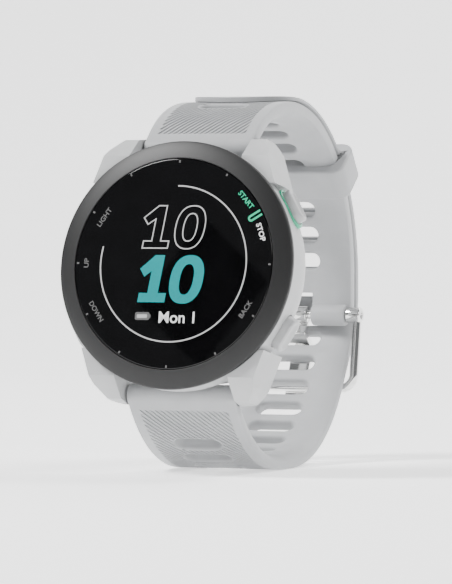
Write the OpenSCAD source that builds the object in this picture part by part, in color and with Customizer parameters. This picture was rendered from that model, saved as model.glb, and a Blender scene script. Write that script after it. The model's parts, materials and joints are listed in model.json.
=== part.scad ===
// Running watch with a round case, five side buttons and a two-piece silicone strap,
// standing on the bottom of its closed strap with the dial leaning back.
// Row frame: +X to 3 o'clock, -Y out of the dial, +Z up, origin in the middle of the
// flat that the strap rests on. Millimetres and degrees.

/* [Stance] */
// Angle that the dial leans back from upright
lean = 10; // [0:1:20]

/* [Case] */
// Outer diameter of the bezel
bezel_d = 41.8; // [38:0.2:50.4]
// Distance from the bezel's lower edge to the back cover's face
case_depth = 9.2; // [8.8:0.1:11.2]
// Wall between the case's outside and the movement cavity
case_wall = 3.3; // [3:0.1:4]
// Height of the bezel's slope above its lower edge
bezel_rise = 1.25; // [0.8:0.05:1.6]
// Width of the bezel's sloping face
bezel_w = 3.1; // [2.6:0.1:3.8]
// Height of the bezel's upright side
bezel_side = 0.6; // [0.4:0.1:1]
// Thickness of the lens glass
glass_t = 1; // [0.8:0.05:1.2]
// Diameter of the visible display
display_d = 26.3; // [24:0.1:28]
// Height of the sensor window above the back cover
window_rise = 1.1; // [0.8:0.1:1.4]
// Radius of the sensor window
window_r = 7.6; // [6.4:0.1:9]

/* [Buttons] */
// Length of a button cap round the case
cap_len = 6; // [5:0.1:7.2]
// Height of a button cap across the case's side
cap_h = 3.2; // [2.8:0.1:3.8]
// How far a button cap stands out from the case
cap_proud = 1.6; // [1:0.1:2]
// Travel of a button
travel = 0.5; // [0.4:0.05:0.6]

/* [Strap] */
// Width of the strap
strap_w = 19.7; // [16.4:0.1:23.8]
// Thickness of the buckle-side strap
upper_t = 2.9; // [2.4:0.1:3.5]
// Thickness of the long strap between the case and the buckle
lower_t = 2.4; // [2:0.1:2.9]
// Thickness of the long strap's tail at the buckle
tail_t = 1.9; // [1.6:0.1:2.3]
// Thickness that the tail loses towards its tip
tail_taper = 1; // [0.6:0.1:1.2]
// Distance between slots along the strap's outer face
slot_pitch = 5.2; // [4.4:0.1:6.3]
// Width of a slot along the strap
slot_w = 2.7; // [2.4:0.1:3.2]
// Length of a slot across the strap
slot_len = 8.3; // [6.9:0.1:10]
// Width of the keeper loop along the strap
keeper_w = 6.2; // [5:0.1:7.5]
// Wall of the keeper loop
keeper_wall = 1.5; // [1.2:0.1:1.8]

/* [Buckle] */
// Distance from the buckle's pin to its far bar
buckle_len = 13; // [12.4:0.1:14]
// Radius of the buckle's rod
rod_r = 0.8; // [0.7:0.05:0.95]
// Radius of the buckle's pin
pin_r = 0.75; // [0.6:0.05:0.9]
// Radius of the strap's end that wraps the buckle's pin
barrel_r = 1.9; // [1.75:0.05:2.1]
// Thickness of the tang
tang_t = 1; // [0.8:0.1:1.2]
// Width of the tang
tang_w = 3.8; // [3:0.1:4.4]

/* [Hidden] */
$fn = 48;
over = 1;                  // how far a cutter runs past what it cuts
gap = 0.1;                 // clearance between pieces that sit side by side
running = 0.05;            // radial clearance of a shaft that turns or slides

// Case, in the case's own frame: +x to 3 o'clock, +y to 12 o'clock, +z out of the dial,
// with z = 0 at the bezel's lower edge
bezel_r = bezel_d / 2;
case_r = bezel_r - 0.2;
bezel_in_r = bezel_r - bezel_w;
glass_r = bezel_in_r - 0.1;
cavity_r = case_r - case_wall;
back_z = -case_depth;
back_r = case_r - 1.8;           // case radius at the back, where its side has drawn in
taper_z = -3.8;                  // where the case's side starts to draw in
cover_t = 1;                     // thickness of the back cover
cover_r = back_r - 0.7;
cover_z = back_z + cover_t;      // seat of the back cover
ledge_w = 1.2;                   // bezel's inner ledge, which carries the glass
mask_t = 0.1;
glass_z = bezel_rise - 0.05 - glass_t;   // underside of the glass
mask_z = glass_z - mask_t;
spigot_h = 1;                    // rim of the back cover inside the cavity
seal_r = 0.28;                   // section radius of the case gasket
spigot_r = cavity_r - 2 * seal_r - 0.04;
fit = 0.1;

// Display stack and electronics, from the front to the back
panel_t = 1.3;
panel_r = display_d / 2 + 1.6;
panel_z = mask_z - 0.02 - panel_t;
guide_t = 0.6;
guide_z = panel_z - guide_t;
chassis_t = 0.65;
chassis_z = guide_z - chassis_t;
chassis_wall = 1.1;
can_h = 1.1;
board_t = 0.7;
board_z = chassis_z - 0.1 - can_h - board_t;
battery_t = -(cover_z - board_z) - 0.35;
battery_z = board_z - 0.1 - battery_t;
battery_x = 19;
battery_y = 17;
battery_mid = 1.5;               // battery's centre towards 12 o'clock
antenna_h = -bezel_side - 0.1 - guide_z;
board_notch_r = 1.5;
coin_r = 3;                      // vibration motor and buzzer, mirrored about 6 o'clock
coin_a = 52.5;
coin_mid_r = cavity_r - coin_r - 0.3;
motor_h = 2.6;
buzzer_h = 1.2;
window_seat = 0.5;
sensor_board_t = 0.4;
port_w = 7;
port_d = 2.8;
port_y = 13.2;                   // port's centre towards 6 o'clock
port_h = 1.8;
contact_r = 0.4;
contact_pitch = 1.6;

// Buttons: one angle from 3 o'clock for each, anticlockwise as the dial is seen
start_a = 30;
back_a = -30;
light_a = 150;
up_a = 180;
down_a = 210;
BUTTONS = [start_a, back_a, light_a, up_a, down_a];
button_z = -5;
side_r = case_r - 0.1;           // case radius where the buttons are
pocket_r = side_r - 1.3;         // floor of a button's pocket
cap_in_r = pocket_r + travel + 0.15;
cap_out_r = side_r + cap_proud;
cap_gap = 0.15;
shaft_r = 0.8;
clip_t = 0.3;
clip_r = 1.3;
clip_in_r = cavity_r - 0.2 - clip_t;
shaft_in_r = clip_in_r - 0.25;
switch_d = 1.6;                  // radial depth of a side switch
switch_out_r = shaft_in_r - travel - 0.05;
switch_l = 3.2;
switch_h = 1.5;
board_r = switch_out_r - 0.15;
seal_groove_r = shaft_r + 0.45;
seal_w = 0.5;
seal_mid_r = (cavity_r + pocket_r) / 2;
cap_top = 0.4;                   // step of a cap's raised top
clip_bore_r = shaft_r - 0.2;     // neck of a shaft, where its clip sits
accent_w = 0.5;
accent_in_r = side_r - 0.6;
accent_out_r = side_r + 0.35;

// Lugs and spring bars
lug_gap = strap_w + 0.7;
lug_w = 3.6;
lug_bore_r = 0.45;
lug_bore_l = 1.6;
bar_y = bezel_r;                 // spring bar's distance from the case's centre
bar_z = back_z + 1.6;
lug_tip_r = 1.7;
seat_y = bar_y - 2.2;            // flat on the case that the strap's end faces
seat_z = -4.6;                   // top of the strap end's room under the case's side
screw_x = lug_gap / 2 + 1.8;
screw_mid_r = cavity_r + 1.462;  // the back screws stand just outside the cavity
screw_y = sqrt(screw_mid_r * screw_mid_r - screw_x * screw_x);
screw_r = 0.7;
screw_head_r = 1.15;
screw_head_h = 0.6;
screw_l = 3;
ear_r = 1.5;
bar_tube_r = 0.75;
bar_tube_l = strap_w - 0.5;
bar_bore_r = 0.5;
tip_r = 0.4;
tip_out = lug_gap / 2 + lug_bore_l - 0.4;     // how far a spring bar's tip reaches
release = 1.3;                   // travel of the release pin
release_x = bar_tube_l / 2 - 3.2;             // place of the release pin's lever
lever_r = 0.45;
lever_l = 2.6;
plunger_l = 0.8;                 // part of the release pin behind its lever
coil_r = 0.12;
coils = 9;
coil_step = 2 * coil_r + 0.005;
coil_x = release_x - release - plunger_l - 0.1 - coils * coil_step;

// Strap route: each step is [radius, turn] for a bend or [0, length] for a straight stretch,
// on the strap's outer face, and a state is [y, z, heading] from the case's centre
lug_end_r = 1.9;                 // radius of a strap's end on its spring bar
rise_heading = 47;               // heading of the buckle-side strap as it leaves the case
fall_heading = -57;              // heading of the long strap as it leaves the case
shoulder_bend = 21;
crown_bend = 32;
crown_turn = 28.8;
back_bend = 30;
bends_h = 37.7;                  // height that the strap's bends take up behind the case
back_drop = bezel_d - bends_h;   // straight stretch down the back
end_bend = 9.9;
front_bend = 27;
heel_bend = 28;
heel_turn = 55;
tail_gap = 0.1;                  // between the tail and the strap under it
pin_turn = 22.6;                 // part of the end bend before the buckle's pin
edge_w = 2.85;                   // width and depth of the strap's softened inner edges
edge_h = 0.9;
rim = 0.3;                       // small bevel on the strap's outer edges
neck_w = strap_w - 1.3;          // width of the strap's end inside the buckle
notch_w = tang_w + 2;

lap = 0.3;                       // how far a slimmer stretch runs on into its neighbours
ease = 0.02;                     // how much slimmer every other stretch is, on each side

function onward(st, step) = step[0] == 0
    ? [st[0] + step[1] * cos(st[2]), st[1] + step[1] * sin(st[2]), st[2]]
    : let (side = sign(step[1]), h2 = st[2] + step[1])
        [st[0] + side * step[0] * (sin(h2) - sin(st[2])),
         st[1] - side * step[0] * (cos(h2) - cos(st[2])), h2];
function state_at(st, route, k) = k == 0 ? st
    : onward(state_at(st, route, k - 1), route[k - 1]);
function lap_turn(step, l) = l / step[0] * 180 / PI;
function step_len(step) = step[0] == 0 ? step[1] : step[0] * abs(step[1]) * PI / 180;
function part_step(step, l) = step[0] == 0 ? [0, l]
    : [step[0], sign(step[1]) * l / step[0] * 180 / PI];
function along(st, route, s, k = 0) =
    s <= step_len(route[k]) || k == len(route) - 1
    ? onward(st, part_step(route[k], s))
    : along(onward(st, route[k]), route, s - step_len(route[k]), k + 1);

// A point of the case's frame, [y, z] there, as [y, z] from the case's centre in the stance
function leant(p) = [p[0] * sin(lean) - p[1] * cos(lean), p[0] * cos(lean) + p[1] * sin(lean)];

upper_bar = leant([bar_y, bar_z]);
upper_start = [upper_bar[0] - lug_end_r * sin(rise_heading),
               upper_bar[1] + lug_end_r * cos(rise_heading), rise_heading];
upper_route = [[shoulder_bend, crown_turn / 2 - rise_heading], [crown_bend, -crown_turn],
    [back_bend, crown_turn / 2 - 90], [0, back_drop], [end_bend, -pin_turn]];
tail_route = [for (k = [0:4]) k < 4 ? upper_route[k] : [end_bend, heel_turn - 90]];
back_state = state_at(upper_start, upper_route, 4);
end_mid = [back_state[0] - end_bend, back_state[1]];
crown_state = state_at(upper_start, upper_route, 2);
back_mid = [crown_state[0] + back_bend * sin(crown_state[2]),
            crown_state[1] - back_bend * cos(crown_state[2])];

// Buckle pin: inside the strap's end, touching the end bend's outer face
pin_y = end_mid[0] + (end_bend - barrel_r) * cos(pin_turn);
pin_z = end_mid[1] - (end_bend - barrel_r) * sin(pin_turn);

// Long strap: the flat and the last straight stretch are the lengths that close the loop
lower_bar = leant([-bar_y, bar_z]);
lower_start = [lower_bar[0] + lug_end_r * sin(fall_heading),
               lower_bar[1] - lug_end_r * cos(fall_heading), fall_heading];
join_y = end_mid[0] + (end_bend + tail_gap + lower_t) * sin(heel_turn);
join_z = end_mid[1] - (end_bend + tail_gap + lower_t) * cos(heel_turn);
floor_z = lower_start[1] - front_bend * (1 - cos(fall_heading));
flat_y = lower_start[0] - front_bend * sin(fall_heading);
reach = (join_z - floor_z - heel_bend * (1 - cos(heel_turn))) / sin(heel_turn);
flat = join_y - flat_y - heel_bend * sin(heel_turn) - reach * cos(heel_turn);
lower_route = [[front_bend, -fall_heading], [0, flat], [heel_bend, heel_turn], [0, reach]];
lower_len = step_len(lower_route[0]) + flat + step_len(lower_route[2]) + reach;
rest_y = flat_y + flat / 2;

// Slots: stations along the routes
tang_slot = lower_len - slot_w / 2 - 0.35;
lower_slots = [for (k = [0:11]) if (tang_slot - k * slot_pitch > 8) tang_slot - k * slot_pitch];
slot_0 = step_len(upper_route[0]) + step_len(upper_route[1]) + step_len(upper_route[2]) - 2.6;
upper_slots = [for (k = [0:10]) if (slot_0 - k * slot_pitch > 11) slot_0 - k * slot_pitch];
tip_reach = 4;                   // tail past the crown bend's top, towards the case
crown_y = crown_state[0] - crown_bend * sin(crown_turn / 2);
tip_mid = crown_y - tip_reach + strap_w / 2;
tail_end = step_len(upper_route[0]) + step_len(upper_route[1]);
tail_slots = [for (k = [-2:7]) if (slot_0 - k * slot_pitch > tail_end + 1)
    slot_0 - k * slot_pitch];

// Keeper on the back bend, and the angle at which it sits above the bend's middle
keeper_a = 38;
keeper_gap = 0.3;
keeper_in = back_bend - upper_t - keeper_gap;
keeper_out = back_bend + tail_gap + tail_t + keeper_gap;
keeper_in_w = strap_w + 0.7;
keeper_r = 2;

// Buckle, in a frame on the pin: +y down the strap's last stretch, +z out of the strap
head_r = 1.4;
hub_r = pin_r + 0.75;
arm_x = strap_w / 2 + 0.55 + rod_r;
corner_r = 2.4;
pin_to_strap = (end_mid[0] - pin_y) * sin(heel_turn) - (end_mid[1] - pin_z) * cos(heel_turn)
    + end_bend + tail_gap;
pin_to_join = (pin_y - end_mid[0]) * cos(heel_turn) + (pin_z - end_mid[1]) * sin(heel_turn);
tang_y = pin_to_join + lower_len - tang_slot;
strap_top = pin_to_strap + lower_t;
far_z = strap_top + 0.3 + rod_r;
far_y = sqrt(buckle_len * buckle_len - far_z * far_z);
far_a = atan2(far_z, far_y);
blade_z = strap_top + 0.3;
blade_a = atan2(far_z + rod_r + 0.05 - blade_z, far_y - tang_y);
blade_l = (far_y - tang_y) / cos(blade_a) + 2 * rod_r;

module place() translate([0, -rest_y, -floor_z]) children();
module in_case() place() rotate([90 - lean, 0, 0]) children();
module disc(r, z, h) translate([0, 0, z]) cylinder(r = r, h = h, $fn = 96);
module band(r1, r2, z, h) difference() {
    disc(r2, z, h);
    disc(r1, z - over, h + 2 * over);
}
module at_button(a) rotate([0, 0, a]) translate([0, 0, button_z]) children();

// A bar with round ends, standing out along x: l long in y, h high in z
module stadium(l, h, x1, x2) translate([x1, 0, 0]) rotate([0, 90, 0]) {
    translate([-h / 2, -(l - h) / 2, 0]) cube([h, l - h, x2 - x1]);
    for (s = [-1, 1]) translate([0, s * (l - h) / 2, 0]) cylinder(d = h, h = x2 - x1);
}

// ---- Case ----
module lug() intersection() {
    translate([lug_gap / 2, 0, 0]) rotate([90, 0, 90]) linear_extrude(lug_w + 4) {
        polygon([[14, -bezel_side - gap], [bar_y - 2.3, -bezel_side - 2 * gap],
            [bar_y + 1.1, -bezel_side - 4], [bar_y + lug_tip_r, bar_z],
            [bar_y, bar_z - lug_tip_r + 0.1], [14, back_z]]);
        translate([bar_y, bar_z]) circle(r = lug_tip_r - 0.01);
    }
    translate([0, 0, back_z - over]) linear_extrude(case_depth + over)
        polygon([[lug_gap / 2, 8], [case_r - 2.2, 8], [lug_gap / 2 + 5, bar_y - 3.4],
            [lug_gap / 2 + 4.2, bar_y - 1], [lug_gap / 2 + 2.4, bar_y + 1.3],
            [lug_gap / 2, bar_y + 1.8]]);
}

module four() for (x = [0, 1], y = [0, 1]) mirror([x, 0, 0]) mirror([0, y, 0]) children();

module case_shell() rotate_extrude($fn = 96) polygon(concat(
    [[0, -bezel_side], [0, back_z]],
    [for (t = [0:15:90]) [back_r + (case_r - back_r) * sin(t),
        back_z + (taper_z - back_z) * (1 - cos(t))]],
    [[case_r, -bezel_side]]));

module button_room(a) at_button(a) {
    stadium(cap_len + 2 * cap_gap, cap_h + 2 * cap_gap, pocket_r, case_r + 4);
    rotate([0, 90, 0]) cylinder(r = shaft_r + running, h = case_r);
    translate([seal_mid_r - seal_w / 2, 0, 0]) rotate([0, 90, 0])
        cylinder(r = seal_groove_r, h = seal_w);
}

module accent_room() at_button(start_a) stadium(cap_len + 2 * (cap_gap + accent_w),
    cap_h + 2 * (cap_gap + accent_w), accent_in_r, case_r + 4);

module case_body() color("gainsboro") in_case() difference() {
    union() {
        case_shell();
        four() lug();
    }
    disc(cavity_r, cover_z - over, case_depth + over);
    disc(cover_r + fit, back_z - over, cover_t + over);
    four() translate([screw_x, screw_y, 0]) {
        translate([0, 0, back_z - over]) cylinder(r = ear_r + fit, h = cover_t + over);
        translate([0, 0, cover_z - over])
            cylinder(r = screw_r, h = screw_l - cover_t + screw_head_h + over);
    }
    for (s = [0, 1]) mirror([0, s, 0]) translate([-lug_gap / 2, seat_y, back_z - over])
        cube([lug_gap, bar_y, seat_z - back_z + over]);
    for (s = [-1, 1]) translate([0, s * bar_y, bar_z]) rotate([0, 90, 0])
        cylinder(r = lug_bore_r, h = lug_gap + 2 * lug_bore_l, center = true);
    for (a = BUTTONS) button_room(a);
    accent_room();
}
module bezel_ring() color("#26282a") in_case() rotate_extrude($fn = 128) polygon([
    [bezel_r, -bezel_side], [bezel_r, -0.1], [bezel_r - 0.15, 0.05],
    [bezel_in_r, bezel_rise], [bezel_in_r, mask_z],
    [bezel_in_r - ledge_w, mask_z], [bezel_in_r - ledge_w, -bezel_side]]);

module lens_glass() color("#101214") in_case() rotate_extrude($fn = 128) polygon([
    [0, glass_z], [glass_r, glass_z], [glass_r, glass_z + glass_t - 0.15],
    [glass_r - 0.15, glass_z + glass_t], [0, glass_z + glass_t]]);
module lens_mask() color("black") in_case() band(display_d / 2, glass_r, mask_z, mask_t);
module display_panel() color("#0a0a0c") in_case() disc(panel_r, panel_z, panel_t);
module light_guide() color("ivory") in_case() disc(panel_r - gap, guide_z, guide_t);

module inner_chassis() color("#4a4d52") in_case() difference() {
    union() {
        disc(cavity_r - 2 * gap, chassis_z, chassis_t);
        band(panel_r + gap, panel_r + gap + chassis_wall, guide_z, -bezel_side - guide_z);
    }
    translate([battery_x / 4, -panel_r / 2, chassis_z - over])
        cube([battery_x / 4, battery_x / 6, chassis_t + 2 * over]);
}
module satellite_antenna() color("goldenrod") in_case() rotate([0, 0, -45])
    translate([0, 0, guide_z]) rotate_extrude(angle = 270, $fn = 128)
        translate([panel_r + 2 * gap + chassis_wall, 0]) square([0.35, antenna_h]);

module main_board() color("#1d5a3a") in_case() difference() {
    disc(board_r, board_z, board_t);
    for (a = [90, 270]) rotate([0, 0, a]) translate([board_r, 0, board_z - over])
        cylinder(r = board_notch_r, h = board_t + 2 * over);
}

module shield_cans() color("silver") in_case() {
    for (c = [[-11, 0.5, 10, 9], [0.5, 1.5, 9, 8], [-6, -10, 13, 8]])
        translate([c[0], c[1], board_z + board_t]) cube([c[2], c[3], can_h]);
}
module battery() color("#8e9499") in_case()
    translate([-battery_x / 2, battery_mid - battery_y / 2, battery_z])
        cube([battery_x, battery_y, battery_t]);
module vibration_motor() color("silver") in_case() rotate([0, 0, 180 + coin_a])
    translate([coin_mid_r, 0, 0]) disc(coin_r, board_z - gap - motor_h, motor_h);
module buzzer() color("#b58a3c") in_case() rotate([0, 0, -coin_a])
    translate([coin_mid_r, 0, 0]) disc(coin_r, board_z - gap - buzzer_h, buzzer_h);
module case_gasket() color("#303234") in_case() translate([0, 0, cover_z + spigot_h / 2])
    rotate_extrude($fn = 96) translate([spigot_r + 0.02 + seal_r, 0]) circle(r = seal_r);

module back_cover() color("#c9cbcc") in_case() difference() {
    union() {
        disc(cover_r, back_z, cover_t);
        four() translate([screw_x, screw_y, back_z]) cylinder(r = ear_r, h = cover_t);
        band(spigot_r - 0.9, spigot_r, cover_z, spigot_h);
    }
    disc(window_r, back_z - over, window_seat + over);
    disc(window_r - 0.5, back_z, cover_t + over);
    translate([-port_w / 2 - fit, -port_y - port_d / 2 - fit, back_z - over])
        cube([port_w + 2 * fit, port_d + 2 * fit, cover_t + 2 * over]);
    four() translate([screw_x, screw_y, back_z - over]) {
        cylinder(r = screw_head_r + fit, h = screw_head_h + over);
        cylinder(r = screw_r + fit, h = cover_t + 2 * over);
    }
}
module back_screws() color("silver") in_case() four() translate([screw_x, screw_y, back_z])
    difference() {
        union() {
            cylinder(r = screw_head_r, h = screw_head_h);
            cylinder(r = screw_r, h = screw_l + screw_head_h);
        }
        translate([0, 0, -over]) cylinder(r = screw_r * 0.85, h = over + 0.4, $fn = 6);
    }
module sensor_window() color("#17181a") in_case() difference() {
    rotate_extrude($fn = 96) polygon([[0, back_z - window_rise],
        [window_r - 2.2, back_z - window_rise], [window_r - 0.8, back_z - window_rise + 0.25],
        [window_r, back_z - 0.1], [window_r, back_z + window_seat], [0, back_z + window_seat]]);
    disc(window_r - 2, back_z, window_seat + over);
}
module sensor_board() color("#1d5a3a") in_case() {
    disc(window_r - 0.6, back_z + window_seat, sensor_board_t);
    for (a = [0:60:300]) rotate([0, 0, a]) translate([3.6, -0.6, back_z + 0.1])
        cube([1.2, 1.2, window_seat - 0.1]);
    translate([-1, -1, back_z + 0.1]) cube([2, 2, window_seat - 0.1]);
}
module contact_row() for (k = [-1.5:1.5]) translate([k * contact_pitch, -port_y, 0]) children();
module charge_port() color("#202224") in_case() difference() {
    union() {
        translate([-port_w / 2, -port_y - port_d / 2, back_z + 0.3])
            cube([port_w, port_d, cover_t]);
        translate([-port_w / 2 - 0.6, -port_y - port_d / 2 - 0.6, cover_z])
            cube([port_w + 1.2, port_d + 1.2, port_h]);
    }
    contact_row() translate([0, 0, back_z]) cylinder(r = contact_r, h = port_h + 2 * over);
}
module charge_contacts() color("gold") in_case() contact_row()
    translate([0, 0, back_z + 0.1]) cylinder(r = contact_r, h = port_h + cover_t);

// ---- Buttons ----
module button(a) in_case() at_button(a) {
    stadium(cap_len, cap_h, cap_in_r, cap_out_r - cap_top);
    stadium(cap_len - 2 * cap_top, cap_h - 2 * cap_top, cap_in_r, cap_out_r);
    translate([shaft_in_r, 0, 0]) rotate([0, 90, 0]) difference() {
        cylinder(r = shaft_r, h = cap_in_r - shaft_in_r + 0.5);
        translate([0, 0, clip_in_r - shaft_in_r]) difference() {
            cylinder(r = shaft_r + over, h = clip_t);
            translate([0, 0, -over]) cylinder(r = clip_bore_r, h = clip_t + 2 * over);
        }
    }
}
module clip(a) color("silver") in_case() at_button(a) translate([clip_in_r, 0, 0])
    rotate([0, 90, 0]) difference() {
        cylinder(r = clip_r, h = clip_t);
        translate([0, 0, -over]) cylinder(r = clip_bore_r, h = clip_t + 2 * over);
        translate([0, -clip_bore_r * 0.7, -over]) cube([2, clip_bore_r * 1.4, clip_t + 2 * over]);
    }
module start_button() color("gainsboro") button(start_a);
module back_button() color("gainsboro") button(back_a);
module light_button() color("gainsboro") button(light_a);
module up_button() color("gainsboro") button(up_a);
module down_button() color("gainsboro") button(down_a);
module start_clip() clip(start_a);
module back_clip() clip(back_a);
module light_clip() clip(light_a);
module up_clip() clip(up_a);
module down_clip() clip(down_a);
module start_accent() color("#20a578") in_case() at_button(start_a) difference() {
    stadium(cap_len + 2 * (cap_gap + accent_w), cap_h + 2 * (cap_gap + accent_w),
        accent_in_r, accent_out_r);
    stadium(cap_len + 2 * cap_gap, cap_h + 2 * cap_gap, accent_in_r - over,
        accent_out_r + over);
}
module button_seals() color("#303234") in_case() for (a = BUTTONS) at_button(a)
    translate([seal_mid_r - seal_w / 2, 0, 0]) rotate([0, 90, 0]) difference() {
        cylinder(r = seal_groove_r, h = seal_w);
        translate([0, 0, -over]) cylinder(r = shaft_r + 0.02, h = seal_w + 2 * over);
    }
module side_switches() color("#17181a") in_case() for (a = BUTTONS) rotate([0, 0, a])
    translate([switch_out_r - switch_d, -switch_l / 2, board_z - switch_h])
        cube([switch_d, switch_l, switch_h]);

// ---- Spring bars: s is 1 at 12 o'clock and -1 at 6 o'clock ----
module on_bar(s) in_case() translate([0, s * bar_y, bar_z]) children();
module rod(r, x1, x2) translate([x1, 0, 0]) rotate([0, 90, 0]) cylinder(r = r, h = x2 - x1);
module spring_bar(s) color("silver") on_bar(s) difference() {
    union() {
        rod(bar_tube_r, -bar_tube_l / 2, bar_tube_l / 2);
        rod(tip_r, -tip_out, 0);
    }
    rod(bar_bore_r, coil_x - 0.1, bar_tube_l / 2 + over);
    translate([release_x - release - lever_r - 2 * running, -lever_r - running, -2])
        cube([release + 2 * lever_r + 4 * running, 2 * (lever_r + running), 2]);
}
module release_pin(s) color("silver") on_bar(s) {
    rod(bar_bore_r - running, release_x - plunger_l, bar_tube_l / 2);
    rod(tip_r, release_x, tip_out);
    translate([release_x, 0, -lever_l]) cylinder(r = lever_r, h = lever_l);
}
module bar_spring(s) color("silver") on_bar(s) for (k = [0:coils - 1])
    translate([coil_x + coil_r + k * coil_step, 0, 0]) rotate([0, 90, 0])
        rotate_extrude() translate([bar_bore_r - running - coil_r, 0]) circle(r = coil_r);
module upper_spring_bar() spring_bar(1);
module lower_spring_bar() spring_bar(-1);
module upper_release_pin() release_pin(1);
module lower_release_pin() release_pin(-1);
module upper_bar_spring() bar_spring(1);
module lower_bar_spring() bar_spring(-1);

// ---- Strap: a local frame runs along +y with the outer face towards +z ----
module at_state(st, side = 1) translate([0, st[0], st[1]]) rotate([st[2], 0, 0])
    mirror([0, 0, side > 0 ? 0 : 1]) children();

// Cross-section as [x, z], from z1 on the wrist's side to z2
function section(w, z1, z2, e) = [[-w / 2 + rim, z2], [-w / 2, z2 - rim], [-w / 2, z1 + e],
    [-w / 2 + e * edge_w / edge_h, z1], [w / 2 - e * edge_w / edge_h, z1], [w / 2, z1 + e],
    [w / 2, z2 - rim], [w / 2 - rim, z2]];
// One stretch of a route, running on past its start and its end
module stretch(step, pts, before, after)
    if (step[0] == 0) translate([0, step[1] + after, 0]) rotate([90, 0, 0])
        linear_extrude(before + step[1] + after) polygon(pts);
    else translate([0, 0, -step[0]]) rotate([0, -90, 0]) rotate([0, 0, -lap_turn(step, before)])
        rotate_extrude(angle = abs(step[1]) + lap_turn(step, before + after), $fn = 180)
            polygon([for (p = pts) [step[0] + p[1], p[0]]]);
// Every other stretch is slimmer by ease, so that it ends inside its neighbours
module run(st, route, first, last, w, z1, z2, e, side = 1, on = 0)
    for (k = [first:last]) at_state(state_at(st, route, k), side)
        if (k % 2 == 1) stretch(route[k], section(w, z1, z2, e), 0, 0);
        else stretch(route[k], section(w - 2 * ease, z1 + ease, z2 - ease, e),
            k == 0 ? 0 : lap, k == last ? on : lap);
module slot_cut(z1, z2) translate([0, 0, z1]) {
    translate([-(slot_len - slot_w) / 2, -slot_w / 2, 0]) cube([slot_len - slot_w, slot_w, z2 - z1]);
    for (s = [-1, 1]) translate([s * (slot_len - slot_w) / 2, 0, 0])
        cylinder(d = slot_w, h = z2 - z1);
}
module across(y, z, r, w) translate([0, y, z]) rotate([0, 90, 0])
    cylinder(r = r, h = w, center = true);

// Room for a spring bar and its lever in a strap's end
module bar_room(bar) {
    across(bar[0], bar[1], bar_tube_r, strap_w + 2 * over);
    translate([0, bar[0], bar[1]]) rotate([90 - lean, 0, 0])
        translate([release_x - release - 2 * lever_r, -2 * lever_r, -lug_end_r - over])
            cube([release + 4 * lever_r, 4 * lever_r, lug_end_r + over]);
}

module strap_upper() color("gainsboro") place() difference() {
    union() {
        across(upper_bar[0], upper_bar[1], lug_end_r, strap_w);
        run(upper_start, upper_route, 0, 3, strap_w, -upper_t, 0, edge_h);
        run(upper_start, upper_route, 4, 4, neck_w, -upper_t, 0, rim);
        across(pin_y, pin_z, barrel_r, neck_w);
    }
    bar_room(upper_bar);
    across(pin_y, pin_z, pin_r, strap_w + 2 * over);
    across(pin_y, pin_z, barrel_r + 1.7, notch_w);
    for (s = upper_slots) at_state(along(upper_start, upper_route, s))
        slot_cut(-upper_t - over, over);
}

module tail_run(first, last) run(upper_start, tail_route, first, last,
    strap_w, tail_gap, tail_gap + tail_t, rim, on = lap);
module tail() {
    tail_run(3, 4);
    intersection() {
        tail_run(1, 2);
        across(back_mid[0], back_mid[1] - tail_taper, back_bend + tail_gap + tail_t,
            strap_w + over, $fn = 180);
        union() {
            translate([0, tip_mid, 0]) cylinder(d = strap_w - ease, h = 2 * back_bend);
            translate([-strap_w / 2 - over, tip_mid, back_mid[1] - over])
                cube([strap_w + 2 * over, 2 * back_bend, 2 * back_bend]);
        }
    }
}

module strap_lower() color("gainsboro") place() difference() {
    union() {
        across(lower_bar[0], lower_bar[1], lug_end_r, strap_w);
        run(lower_start, lower_route, 0, 3, strap_w, -lower_t, 0, edge_h, -1);
        tail();
    }
    bar_room(lower_bar);
    for (s = lower_slots) at_state(along(lower_start, lower_route, s), -1)
        slot_cut(-lower_t - over, over);
    for (s = tail_slots) at_state(along(upper_start, tail_route, s))
        slot_cut(tail_gap / 2, tail_gap + tail_t + over);
}

module rounded(w, z1, z2, r) {
    translate([-w / 2 + r, z1]) square([w - 2 * r, z2 - z1]);
    translate([-w / 2, z1 + r]) square([w, z2 - z1 - 2 * r]);
    for (x = [-1, 1], z = [z1 + r, z2 - r]) translate([x * (w / 2 - r), z]) circle(r = r);
}
module strap_keeper() color("gainsboro") place() translate([0, back_mid[0], back_mid[1]])
    rotate([keeper_a - 90, 0, 0]) translate([0, keeper_w / 2, 0]) rotate([90, 0, 0])
        linear_extrude(keeper_w) difference() {
            rounded(keeper_in_w + 2 * keeper_wall, keeper_in - keeper_wall,
                keeper_out + keeper_wall, keeper_r);
            rounded(keeper_in_w, keeper_in, keeper_out, keeper_r - keeper_wall);
        }

// ---- Buckle ----
module on_pin() place() translate([0, pin_y, pin_z]) rotate([heel_turn - 180, 0, 0]) children();
module buckle_pin() color("silver") on_pin() across(0, 0, pin_r, 2 * (arm_x + rod_r));
module buckle_frame() color("silver") on_pin() difference() {
    union() {
        for (s = [0, 1]) mirror([s, 0, 0]) {
            rod(head_r, neck_w / 2 + gap, arm_x + rod_r);
            rotate([far_a, 0, 0]) {
                translate([arm_x, 0, 0]) rotate([-90, 0, 0])
                    cylinder(r = rod_r, h = buckle_len - corner_r);
                translate([arm_x - corner_r, buckle_len - corner_r, 0])
                    rotate_extrude(angle = 90) translate([corner_r, 0]) circle(r = rod_r);
                translate([0, buckle_len, 0]) rod(rod_r, 0, arm_x - corner_r);
            }
        }
    }
    across(0, 0, pin_r + running, 3 * strap_w);
}
module slab(y, z, l, h) translate([-tang_w / 2, y, z]) cube([tang_w, l, h]);
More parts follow.
